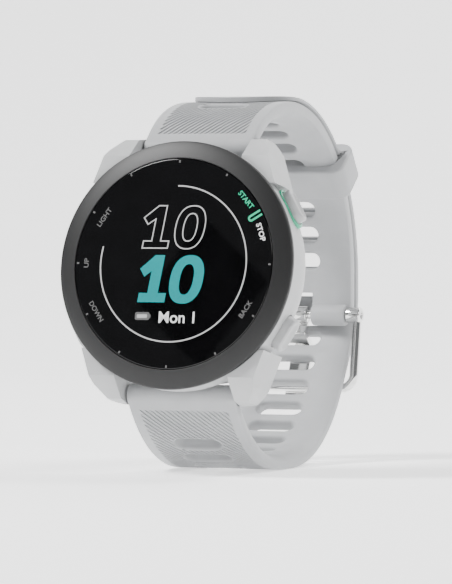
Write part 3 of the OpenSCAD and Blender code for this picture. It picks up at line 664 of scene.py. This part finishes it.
# %% Mould the buckle-side strap
def knuckle(bm, centre, r, x1, x2, soft=0.35):
    """A soft-edged cylinder along x, part of a strap's end."""
    tube = bmesh.ops.create_cone(bm, cap_ends=True, segments=40, radius1=r, radius2=r,
                                 depth=x2 - x1)["verts"]
    bmesh.ops.rotate(bm, cent=(0, 0, 0), matrix=Matrix.Rotation(pi / 2, 3, "Y"), verts=tube)
    bmesh.ops.translate(bm, vec=((x1 + x2) / 2, *centre), verts=tube)
    rims = {e for v in tube for e in v.link_edges if len(e.link_faces) == 2
            and e.calc_face_angle(0) > 1}
    bmesh.ops.bevel(bm, geom=list(rims), offset=soft, affect="EDGES", segments=3, profile=0.5,
                    material=-1)


BARREL_R, NOTCH_W, NOTCH_LONG, TANG_W = 1.9, 5.8, 7.2, 3.8
PIN_TURN, CUT_DEEP, RIBS_FROM = radians(END_TURN), 9, 1.6
pin_away = END_BEND - BARREL_R
pin = (end_y + pin_away * cos(PIN_TURN), end_z - pin_away * sin(PIN_TURN))
upper = strip(STRAP_W, UPPER_T, 0, upper_total)
tools = slot_plugs(upper_slots, UPPER_T)
notch = bmesh.ops.create_cube(tools, size=1)["verts"]
bmesh.ops.scale(tools, vec=(NOTCH_W, NOTCH_LONG, CUT_DEEP), verts=notch)
bmesh.ops.translate(tools, vec=(0, upper_total, 0), verts=notch)
upper = cut(upper, tools)
rib(upper, UPPER_T, RIBS_FROM, upper_total - 6, STRAP_W / 2 - MARGIN, upper_total)
wrap(upper, upper_route, upper_start, 1, lambda y: UPPER_T, UPPER_T)
knuckle(upper, upper_bar, LUG_END_R, -STRAP_W / 2, STRAP_W / 2, 0.3)
for side in (-1, 1):
    knuckle(upper, pin, BARREL_R, *sorted((side * NOTCH_W / 2, side * (STRAP_W / 2 - 0.65))))
settle("strap_buckle_side", upper, "watch", "strap_silicone", ["strap_upper"], STANCE,
       crease=28, merge=1e-4)

# %% Mould the long strap
JOIN = sum(length_of(s) for s in lower_route[:4])
TAIL_FROM = sum(length_of(s) for s in lower_route[:6])
TIP_THINNER = 1.1


def lower_thick(y):
    """Full under the wrist, thinner past the buckle, and thinner still towards the tip."""
    t = LOWER_T - (LOWER_T - TAIL_T) * smooth_step(y, JOIN - 1.5, JOIN + 1.5)
    if y > TAIL_FROM:
        t -= TIP_THINNER * sin(min((y - TAIL_FROM) / (BACK_BEND + TAIL_GAP), radians(100)))
    return t


lower = strip(STRAP_W, LOWER_T, 0, lower_total)
tools = slot_plugs(lower_slots + tail_slots, LOWER_T)
corner = bmesh.ops.create_cube(tools, size=1)["verts"]
bmesh.ops.scale(tools, vec=(3 * STRAP_W, STRAP_W, CUT_DEEP), verts=corner)
bmesh.ops.translate(tools, vec=(0, lower_total, 0), verts=corner)
tip_plug = bmesh.new()
bmesh.ops.create_cone(tip_plug, cap_ends=True, segments=96, radius1=STRAP_W / 2 - 0.02,
                      radius2=STRAP_W / 2 - 0.02, depth=20)
bmesh.ops.translate(tip_plug, vec=(0, lower_total - STRAP_W / 2, 0), verts=tip_plug.verts)
tools = cut(tools, tip_plug)
lower = cut(lower, tools)
rib(lower, LOWER_T, RIBS_FROM, lower_total - STRAP_W / 2 - 1, STRAP_W / 2 - MARGIN, lower_total)
wrap(lower, lower_route, lower_start, -1, lower_thick, LOWER_T)
knuckle(lower, lower_bar, LUG_END_R, -STRAP_W / 2, STRAP_W / 2, 0.3)
settle("strap_long", lower, "watch", "strap_silicone", ["strap_lower"], STANCE, crease=28,
       merge=1e-4)

# %% [markdown]
# ## The keeper
# The keeper is a soft loop round both straps. Its section is a rounded frame swept as a short
# tube, and every edge is rounded generously, because silicone cannot hold a sharp one.

# %% Mould the keeper
KEEPER_A, KEEPER_W, KEEPER_WALL, KEEPER_GAP = radians(38), 6.2, 1.5, 0.3
back_mid = (end_y + END_BEND - BACK_BEND, end_z + DROP)
low_z = BACK_BEND - UPPER_T - KEEPER_GAP
high_z = BACK_BEND + TAIL_GAP + TAIL_T + KEEPER_GAP
inner_w = STRAP_W + 0.7


def rounded_frame(bm, width, z1, z2, r, y):
    """The corner points of a rounded rectangle across a strap."""
    corners = [(width / 2 - r, z2 - r, 0), (-width / 2 + r, z2 - r, 90),
               (-width / 2 + r, z1 + r, 180), (width / 2 - r, z1 + r, 270)]
    points = [p for x, z, a in corners for p in arc_points(x, z, r, a, a + 90, 6)]
    verts = [bm.verts.new((x, y, z)) for x, z in points]
    return [bm.edges.new(pair) for pair in zip(verts, verts[1:] + verts[:1])]


keeper = bmesh.new()
loops = []
for width, z1, z2, r in ((inner_w + 2 * KEEPER_WALL, low_z - KEEPER_WALL,
                          high_z + KEEPER_WALL, 2.2), (inner_w, low_z, high_z, 0.9)):
    loops.append([rounded_frame(keeper, width, z1, z2, r, y)
                  for y in (-KEEPER_W / 2, KEEPER_W / 2)])
(outer_a, outer_b), (inner_a, inner_b) = loops
for pair in ((outer_a, outer_b), (inner_a, inner_b), (outer_a, inner_a), (outer_b, inner_b)):
    bmesh.ops.bridge_loops(keeper, edges=[*pair[0], *pair[1]])
bmesh.ops.recalc_face_normals(keeper, faces=keeper.faces)
rims = [e for e in keeper.edges if e.calc_face_angle(0) > 1.2]
bmesh.ops.bevel(keeper, geom=rims, offset=0.5, affect="EDGES", segments=5, profile=0.5,
                material=-1)
round_back = Matrix.Translation((0, *back_mid)) @ Matrix.Rotation(KEEPER_A - pi / 2, 4, "X")
settle("keeper_loop", keeper, "keeper", "strap_silicone", ["strap_keeper"],
       STANCE @ round_back, crease=50)

# %% [markdown]
# ## The buckle
# The frame is one polished rod, bent into a U, with a round head on each end of the pin. The
# rod is a circle swept by spin round each corner and pulled straight between them. The tang is
# a stamped strip: its side view is drawn once and given its width, then its edges are rounded.

# %% Bend the buckle's frame
ROD_R, HEAD_R, BUCKLE_LONG, CORNER_R, PIN_R, TANG_T = 0.8, 1.4, 13.0, 2.4, 0.75, 1.0
ARM_X = STRAP_W / 2 + 0.55 + ROD_R
pin_to_strap = (end_y - pin[0]) * sin(heel) - (end_z - pin[1]) * cos(heel) + END_BEND + TAIL_GAP
pin_to_join = (pin[0] - end_y) * cos(heel) + (pin[1] - end_z) * sin(heel)
strap_top = pin_to_strap + LOWER_T
far_z = strap_top + 0.3 + ROD_R
far_y = (BUCKLE_LONG ** 2 - far_z ** 2) ** 0.5
far_a = atan2(far_z, far_y)
ON_PIN = STANCE @ Matrix.Translation((0, *pin)) @ Matrix.Rotation(heel - pi, 4, "X")
buckle = bmesh.new()
ring = bmesh.ops.create_circle(buckle, segments=24, radius=ROD_R)["verts"]
bmesh.ops.rotate(buckle, cent=(0, 0, 0), matrix=Matrix.Rotation(pi / 2, 3, "X"), verts=ring)
bmesh.ops.translate(buckle, vec=(ARM_X, 0, 0), verts=ring)


def pull(bm, ring, vec):
    """Extrudes the last ring of a rod straight on."""
    edges = list({e for v in ring for e in v.link_edges if all(w in ring for w in e.verts)})
    grown = bmesh.ops.extrude_edge_only(bm, edges=edges)["geom"]
    verts = [g for g in grown if isinstance(g, bmesh.types.BMVert)]
    bmesh.ops.translate(bm, vec=vec, verts=verts)
    return verts


def bend(bm, ring, centre, angle, steps=10):
    """Spins the last ring of a rod round a corner about z."""
    edges = list({e for v in ring for e in v.link_edges if all(w in ring for w in e.verts)})
    grown = bmesh.ops.spin(bm, geom=[*ring, *edges], cent=centre, axis=(0, 0, 1), angle=angle,
                           steps=steps)["geom_last"]
    return [g for g in grown if isinstance(g, bmesh.types.BMVert)]


ring = pull(buckle, ring, (0, BUCKLE_LONG - CORNER_R, 0))
ring = bend(buckle, ring, (ARM_X - CORNER_R, BUCKLE_LONG - CORNER_R, 0), pi / 2)
ring = pull(buckle, ring, (-2 * (ARM_X - CORNER_R), 0, 0))
ring = bend(buckle, ring, (-ARM_X + CORNER_R, BUCKLE_LONG - CORNER_R, 0), pi / 2)
ring = pull(buckle, ring, (0, CORNER_R - BUCKLE_LONG, 0))
bmesh.ops.rotate(buckle, cent=(0, 0, 0), matrix=Matrix.Rotation(far_a, 3, "X"),
                 verts=buckle.verts)
for side in (-1, 1):
    ends = sorted((side * (STRAP_W / 2 - 0.55), side * (ARM_X + ROD_R)))
    knuckle(buckle, (0, 0), HEAD_R, *ends, soft=0.25)
settle("buckle_rod", buckle, "buckle", "buckle_steel", ["buckle_frame"], ON_PIN, crease=45)

# %% Stamp the tang
HUB_R = PIN_R + 0.75
tang_y = pin_to_join + sum(length_of(s) for s in lower_outer) - tang_station
blade_z = strap_top + 0.3
blade_a = atan2(far_z + ROD_R + 0.05 - blade_z, far_y - tang_y)
blade_long = (far_y - tang_y) / cos(blade_a) + 2 * ROD_R
tang = bmesh.new()
side_view = [(0, HUB_R - TANG_T), (0, HUB_R), (tang_y - 1.1, HUB_R), (tang_y - 0.6, HUB_R + 0.4),
             (tang_y - 0.5, blade_z + 0.4), (tang_y - 0.1, blade_z + TANG_T)]
tip_y = tang_y + blade_long * cos(blade_a)
tip_z = blade_z + blade_long * sin(blade_a)
side_view += [(tip_y - 0.6, tip_z + TANG_T - 0.15), (tip_y - 0.1, tip_z + 0.5), (tip_y, tip_z),
              (tang_y + 0.9, blade_z + 0.15), (tang_y + 0.5, blade_z - 0.3),
              (tang_y + 0.5, HUB_R - 0.2), (tang_y + 0.1, HUB_R - TANG_T)]
face = tang.faces.new([tang.verts.new((-TANG_W / 2, y, z)) for y, z in side_view])
grown = bmesh.ops.extrude_face_region(tang, geom=[face])["geom"]
bmesh.ops.translate(tang, vec=(TANG_W, 0, 0),
                    verts=[g for g in grown if isinstance(g, bmesh.types.BMVert)])
bmesh.ops.recalc_face_normals(tang, faces=tang.faces)
soften(tang, 0.16, 3, 50)
knuckle(tang, (0, 0), HUB_R, -TANG_W / 2, TANG_W / 2, 0.2)
settle("tang_strip", tang, "tang", "buckle_steel", ["buckle_tang"], ON_PIN, crease=40)

# %% [markdown]
# ## What the dial shows
# The screen's figures and the labels of the keys are thin shapes just above the glass, so they
# catch the same light as it does. Every ink also carries a painted glow, a weak emission of its
# own colour that brightens it, though neither the screen nor the print gives off light. The big
# figures are drawn with a few corner points: a zero is two nested ovals, and the one is a
# polygon with a foot. Leaning them a little makes them look quick. The small words are ordinary
# text turned into meshes.

# %% Inks of the dial, each with a painted glow
def ink(name, colour, painted_glow):
    material = finish(name, colour, 0.3, depth=0.0005, drift=0.06)
    skin = material.node_tree.nodes["Principled BSDF"]
    # painted glow: the ink's own colour is also emitted, so the print and the figures shine a
    # little as if lit
    skin.inputs["Emission Color"].default_value = (*colour, 1)
    skin.inputs["Emission Strength"].default_value = painted_glow
    palette[name] = material
    return name


# the last number of each ink is the strength of its painted glow, not a real light
TEAL = ink("figures_teal", (0.0, 0.2, 0.21), 0.25)
LINE = ink("figures_line", (0.34, 0.34, 0.34), 0.35)
WHITE = ink("label_white", (0.6, 0.6, 0.6), 0.4)
GREY = ink("label_grey", (0.09, 0.09, 0.09), 0.3)
GREEN = ink("label_green", (0.015, 0.36, 0.19), 0.4)
DIAL_Z, INK_T = GLASS_TOP + 0.004, 0.012


def print_on_dial(name, bm, colour, slot_name="display_glass", matrix=Matrix()):
    """A flat shape in the dial's x and y, given a little thickness just above the glass."""
    bmesh.ops.remove_doubles(bm, verts=bm.verts, dist=1e-4)
    bmesh.ops.recalc_face_normals(bm, faces=bm.faces)
    for f in [f for f in bm.faces if f.normal.z < 0]:
        f.normal_flip()
    grown = bmesh.ops.extrude_face_region(bm, geom=list(bm.faces))["geom"]
    bmesh.ops.translate(bm, vec=(0, 0, INK_T),
                        verts=[g for g in grown if isinstance(g, bmesh.types.BMVert)])
    piece = settle(name, bm, "watch", slot_name, (),
                   CASE @ Matrix.Translation((0, 0, DIAL_Z)) @ matrix, merge=1e-9)
    piece.data.materials.clear()
    piece.data.materials.append(palette[colour])
    return piece


def oval_loop(bm, a, b, full=2.35, count=72):
    """A ring of points on a full-bodied oval."""
    ring = []
    for k in range(count):
        t = 2 * pi * k / count
        c, s = cos(t), sin(t)
        ring.append(bm.verts.new((a * abs(c) ** (2 / full) * (1 if c > 0 else -1),
                                  b * abs(s) ** (2 / full) * (1 if s > 0 else -1), 0)))
    return [bm.edges.new(pair) for pair in zip(ring, ring[1:] + ring[:1])]


def zero(a, b, in_a, in_b):
    bm = bmesh.new()
    bmesh.ops.bridge_loops(bm, edges=[*oval_loop(bm, a, b), *oval_loop(bm, in_a, in_b)])
    return bm


def one(high, foot=2.45, stem=0.95, bar=1.58):
    bm = bmesh.new()
    outline = [(-foot, 0), (foot, 0), (foot, bar), (stem, bar), (stem, high),
               (-stem * 0.78, high), (-3.1, high * 0.71), (-2.06, high * 0.54),
               (-stem, high * 0.655), (-stem, bar), (-foot, bar)]
    bm.faces.new([bm.verts.new((x, y, 0)) for x, y in outline])
    return bm


def outlined(bm, stroke):
    """Keeps only a thin stroke inside the shape's edge."""
    for f in list(bm.faces):
        f.normal_update()
    bmesh.ops.inset_region(bm, faces=list(bm.faces), thickness=stroke, use_even_offset=True,
                           use_boundary=True)
    kept = {f for v in bm.verts if v.is_boundary for f in v.link_faces}
    bmesh.ops.delete(bm, geom=[f for f in bm.faces if f not in kept], context="FACES")
    return bm


SLANT = Matrix(((1, 0.14, 0, 0), (0, 1, 0, 0), (0, 0, 1, 0), (0, 0, 0, 1)))
print_on_dial("hour_one", outlined(one(7.35, 2.38, 0.9, 1.4), 0.2), LINE,
              matrix=Matrix.Translation((-3.5, 2.5, 0)) @ SLANT)
rings = [zero(2.72, 3.72, 2.52, 3.52), zero(1.3, 2.42, 1.1, 2.22)]
for number, bm in enumerate(rings):
    print_on_dial(f"hour_zero_{number}", bm, LINE,
                  matrix=Matrix.Translation((2.66, 6.12, 0)) @ SLANT)
print_on_dial("minute_one", one(7.95), TEAL, matrix=Matrix.Translation((-3.55, -6.52, 0)) @ SLANT)
print_on_dial("minute_zero", zero(2.98, 4.08, 1.2, 2.55), TEAL,
              matrix=Matrix.Translation((2.62, -2.62, 0)) @ SLANT)


def band_on_dial(r1, r2, start, sweep, steps):
    """A flat arc: an edge from r1 to r2 spun from one angle through another."""
    bm = bmesh.new()
    ends = [bm.verts.new((r * cos(radians(start)), r * sin(radians(start)), 0))
            for r in (r1, r2)]
    bmesh.ops.spin(bm, geom=[*ends, bm.edges.new(ends)], cent=(0, 0, 0), axis=(0, 0, 1),
                   angle=radians(sweep), steps=steps)
    return bm


print_on_dial("seconds_arc", band_on_dial(12.99, 13.23, 90, -282.5, 180), LINE)
TICK_R = 17.3
for hour in range(12):
    if hour == 2:
        continue
    tick = band_on_dial(TICK_R - 0.26, TICK_R + 0.16, 90 - 30 * hour - 0.5, 1.0, 2)
    print_on_dial(f"tick_{hour}", tick, GREY, "mask_ink")


def slab_on_dial(x1, x2, y1, y2, r=0.3):
    bm = bmesh.new()
    rows = [(x2 - r, y2 - r, 0), (x1 + r, y2 - r, 90), (x1 + r, y1 + r, 180),
            (x2 - r, y1 + r, 270)]
    bm.faces.new([bm.verts.new((x, y, 0)) for cx, cy, a in rows
                  for x, y in arc_points(cx, cy, r, a, a + 90, 4)])
    return bm


print_on_dial("cell_case", slab_on_dial(-6.2, -3.62, -9.5, -8.18), GREY)
print_on_dial("cell_tip", slab_on_dial(-3.62, -3.4, -9.15, -8.55, 0.08), GREY)
print_on_dial("cell_level", slab_on_dial(-5.85, -4.05, -9.15, -8.55, 0.1), LINE,
              matrix=Matrix.Translation((0, 0, 0.01)))


def words(name, text, colour, centre, wide, high, turned=0.0, bold=0.02, lean_over=0.0,
          slot_name="mask_ink"):
    """Text made a mesh, fitted to a box and turned about its middle."""
    curve = bpy.data.curves.new(name + "_text", "FONT")
    curve.body, curve.offset, curve.shear = text, bold, lean_over
    scratch = bpy.data.objects.new(name + "_text", curve)
    bpy.context.scene.collection.objects.link(scratch)
    seen = scratch.evaluated_get(bpy.context.evaluated_depsgraph_get())
    bm = bmesh.new()
    bm.from_mesh(seen.to_mesh())
    bpy.data.objects.remove(scratch)
    low = Vector([min(v.co[i] for v in bm.verts) for i in range(3)])
    high_end = Vector([max(v.co[i] for v in bm.verts) for i in range(3)])
    size = high_end - low
    bmesh.ops.translate(bm, vec=-(low + high_end) / 2, verts=bm.verts)
    bmesh.ops.scale(bm, vec=(wide / size.x, high / size.y, 1), verts=bm.verts)
    place = Matrix.Translation((*centre, 0)) @ Matrix.Rotation(radians(turned), 4, "Z")
    return print_on_dial(name, bm, colour, slot_name, place)


words("date_line", "Mon 1", WHITE, (1.3, -9.0), 6.4, 1.95, 0, 0.012, slot_name="display_glass")
words("label_start", "START", GREEN, (12.35, 10.75), 3.65, 0.92, -48, 0.02)
words("label_stop", "STOP", WHITE, (15.35, 5.35), 3.15, 0.92, -70, 0.02)
words("label_back", "BACK", GREY, (13.5, -7.5), 3.2, 0.88, 58)
words("label_light", "LIGHT", GREY, (-13.0, 7.8), 3.6, 0.85, 56)
words("label_up", "UP", GREY, (-15.7, 0.05), 1.6, 0.85, 88)
words("label_down", "DOWN", GREY, (-13.3, -8.15), 3.9, 0.88, -55)

# the sign between the two words: a U that opens towards its key
sign = bmesh.new()
ends = [sign.verts.new((x, 2.0, 0)) for x in (0.2, 0.56)]
edge = sign.edges.new(ends)
moved = bmesh.ops.extrude_edge_only(sign, edges=[edge])["geom"]
turned_ends = [g for g in moved if isinstance(g, bmesh.types.BMVert)]
bmesh.ops.translate(sign, vec=(0, -2.0, 0), verts=turned_ends)
turned_edge = [g for g in moved if isinstance(g, bmesh.types.BMEdge)
               and all(v in turned_ends for v in g.verts)]
last = bmesh.ops.spin(sign, geom=[*turned_ends, *turned_edge], cent=(0, 0, 0), axis=(0, 0, 1),
                      angle=-pi, steps=16)["geom_last"]
far_edge = [g for g in last if isinstance(g, bmesh.types.BMEdge)]
moved = bmesh.ops.extrude_edge_only(sign, edges=far_edge)["geom"]
bmesh.ops.translate(sign, vec=(0, 2.0, 0), verts=[g for g in moved
                                                  if isinstance(g, bmesh.types.BMVert)])
print_on_dial("start_sign", sign, GREEN, "mask_ink",
              Matrix.Translation((13.45, 7.65, 0)) @ Matrix.Rotation(radians(-58), 4, "Z"))

# %% [markdown]
# ## The back of the case
# The sensor window is a dark dome, turned on the lathe with soft shoulders. The screws keep
# their CAD shapes, whose hexagon sockets already show.

# %% Turn the sensor window
BACK_Z, WINDOW_R, WINDOW_RISE = -9.2, 7.6, 1.1
profile = [(0, BACK_Z + 0.4), (WINDOW_R, BACK_Z + 0.4), (WINDOW_R, BACK_Z - 0.1)]
profile += [(7.35, BACK_Z - 0.42), (6.9, BACK_Z - 0.74), (6.3, BACK_Z - 0.95),
            (5.4, BACK_Z - 1.06), (4.0, BACK_Z - WINDOW_RISE), (0, BACK_Z - WINDOW_RISE)]
settle("window_turned", lathe(profile, 96), "watch", "window_plastic", ["sensor_window"])

# %% [markdown]
# ## Studio
# The watch stands on a pale paper sweep, which runs level and then curves up behind it. A
# broad soft light hangs above and to the left, with weaker ones from the right and from
# behind. A black flag hangs where one half of the glass mirrors it, so the glass shows a
# straight diagonal line between a grey half and a black half. The sweep rises behind the watch,
# so a camera that stands behind it sees only paper.

# %% Sweep and lights
def stage_piece(name, bm, material):
    mesh = bpy.data.meshes.new(name)
    bm.to_mesh(mesh)
    bm.free()
    mesh.materials.append(material)
    piece = bpy.data.objects.new(name, mesh)
    bpy.context.scene.collection.objects.link(piece)
    piece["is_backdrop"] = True
    return piece


SWEEP_FROM, SWEEP_R, SWEEP_TOP, SWEEP_WIDE, PAPER_GLOW = 0.3, 0.4, 1.6, 2, 0.9
paper = finish("studio_paper", (0.9, 0.9, 0.9), 0.85, drift=0.004, depth=0)
paper_skin = paper.node_tree.nodes["Principled BSDF"]
paper_skin.inputs["Emission Color"].default_value = (1, 1, 1, 1)
paper_skin.inputs["Emission Strength"].default_value = PAPER_GLOW
sweep = bmesh.new()
side_line = [(-2.5, 0), (SWEEP_FROM, 0)]
side_line += arc_points(SWEEP_FROM, SWEEP_R, SWEEP_R, -90, 0, 24)[1:]
side_line += [(SWEEP_FROM + SWEEP_R, SWEEP_TOP)]
rows = [[sweep.verts.new((x, y, z - 0.00005)) for x in (-SWEEP_WIDE, SWEEP_WIDE)]
        for y, z in side_line]
for (a, b), (c, d) in zip(rows, rows[1:]):
    sweep.faces.new((a, b, d, c))
stage_piece("studio_sweep", sweep, paper)

sky = bpy.data.worlds.new("studio_sky")
bpy.context.scene.world = sky
sky.use_nodes = True
sky.node_tree.nodes["Background"].inputs["Color"].default_value = (0.96, 0.98, 1, 1)
sky.node_tree.nodes["Background"].inputs["Strength"].default_value = 0.2


AIM = Vector((0, 0, 0.03))


def lamp(name, place, size, power):
    """A round soft lamp that looks at the watch's middle."""
    data = bpy.data.lights.new(name, "AREA")
    data.shape, data.size, data.energy = "DISK", size, power
    lamp_object = bpy.data.objects.new(name, data)
    lamp_object.matrix_world = Matrix.Translation(place) @ (
        AIM - Vector(place)).to_track_quat("-Z", "Y").to_matrix().to_4x4()
    bpy.context.scene.collection.objects.link(lamp_object)


lamp("key_light", (-0.5, -0.4, 0.75), 0.3, 15)
lamp("fill_light", (0.7, -0.3, 0.45), 0.3, 2)
lamp("rim_light", (0.3, 0.28, 0.7), 0.25, 4)

# %% Hang the flag
glass_mid = CASE @ Vector((0, 0, GLASS_TOP))
facing = (CASE.to_3x3() @ Vector((0, 0, 1))).normalized()
watcher = bpy.context.scene.camera.matrix_world.translation
mirrored = watcher - 2 * facing * (watcher - glass_mid).dot(facing)
edge_start, edge_end = Vector((17, 24, GLASS_TOP)), Vector((-20, -21, GLASS_TOP))
FLAG_WIDE, FLAG_FAR = 55, 0.4
aside = Vector((0.77, -0.64, 0)) * FLAG_WIDE
flag = bmesh.new()
corners = []
for corner in (edge_start, edge_end, edge_end + aside, edge_start + aside):
    on_glass = CASE @ corner
    onward_way = (on_glass - mirrored).normalized()
    corners.append(flag.verts.new(on_glass + onward_way * FLAG_FAR))
flag.faces.new(corners)
stage_piece("studio_flag", flag, finish("studio_felt", (0.001, 0.001, 0.001), 0.95, depth=0))

# %% Finish
cad_box = [[float(v) for v in corner] for corner in (cad_low, cad_high)]
visual_box = [[float(v) for v in corner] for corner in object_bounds()]
for side, cad_corner, corner in zip(("low", "high"), cad_box, visual_box):
    print(side, [round((b - a) / MM, 2) for a, b in zip(cad_corner, corner)], "mm off the CAD")
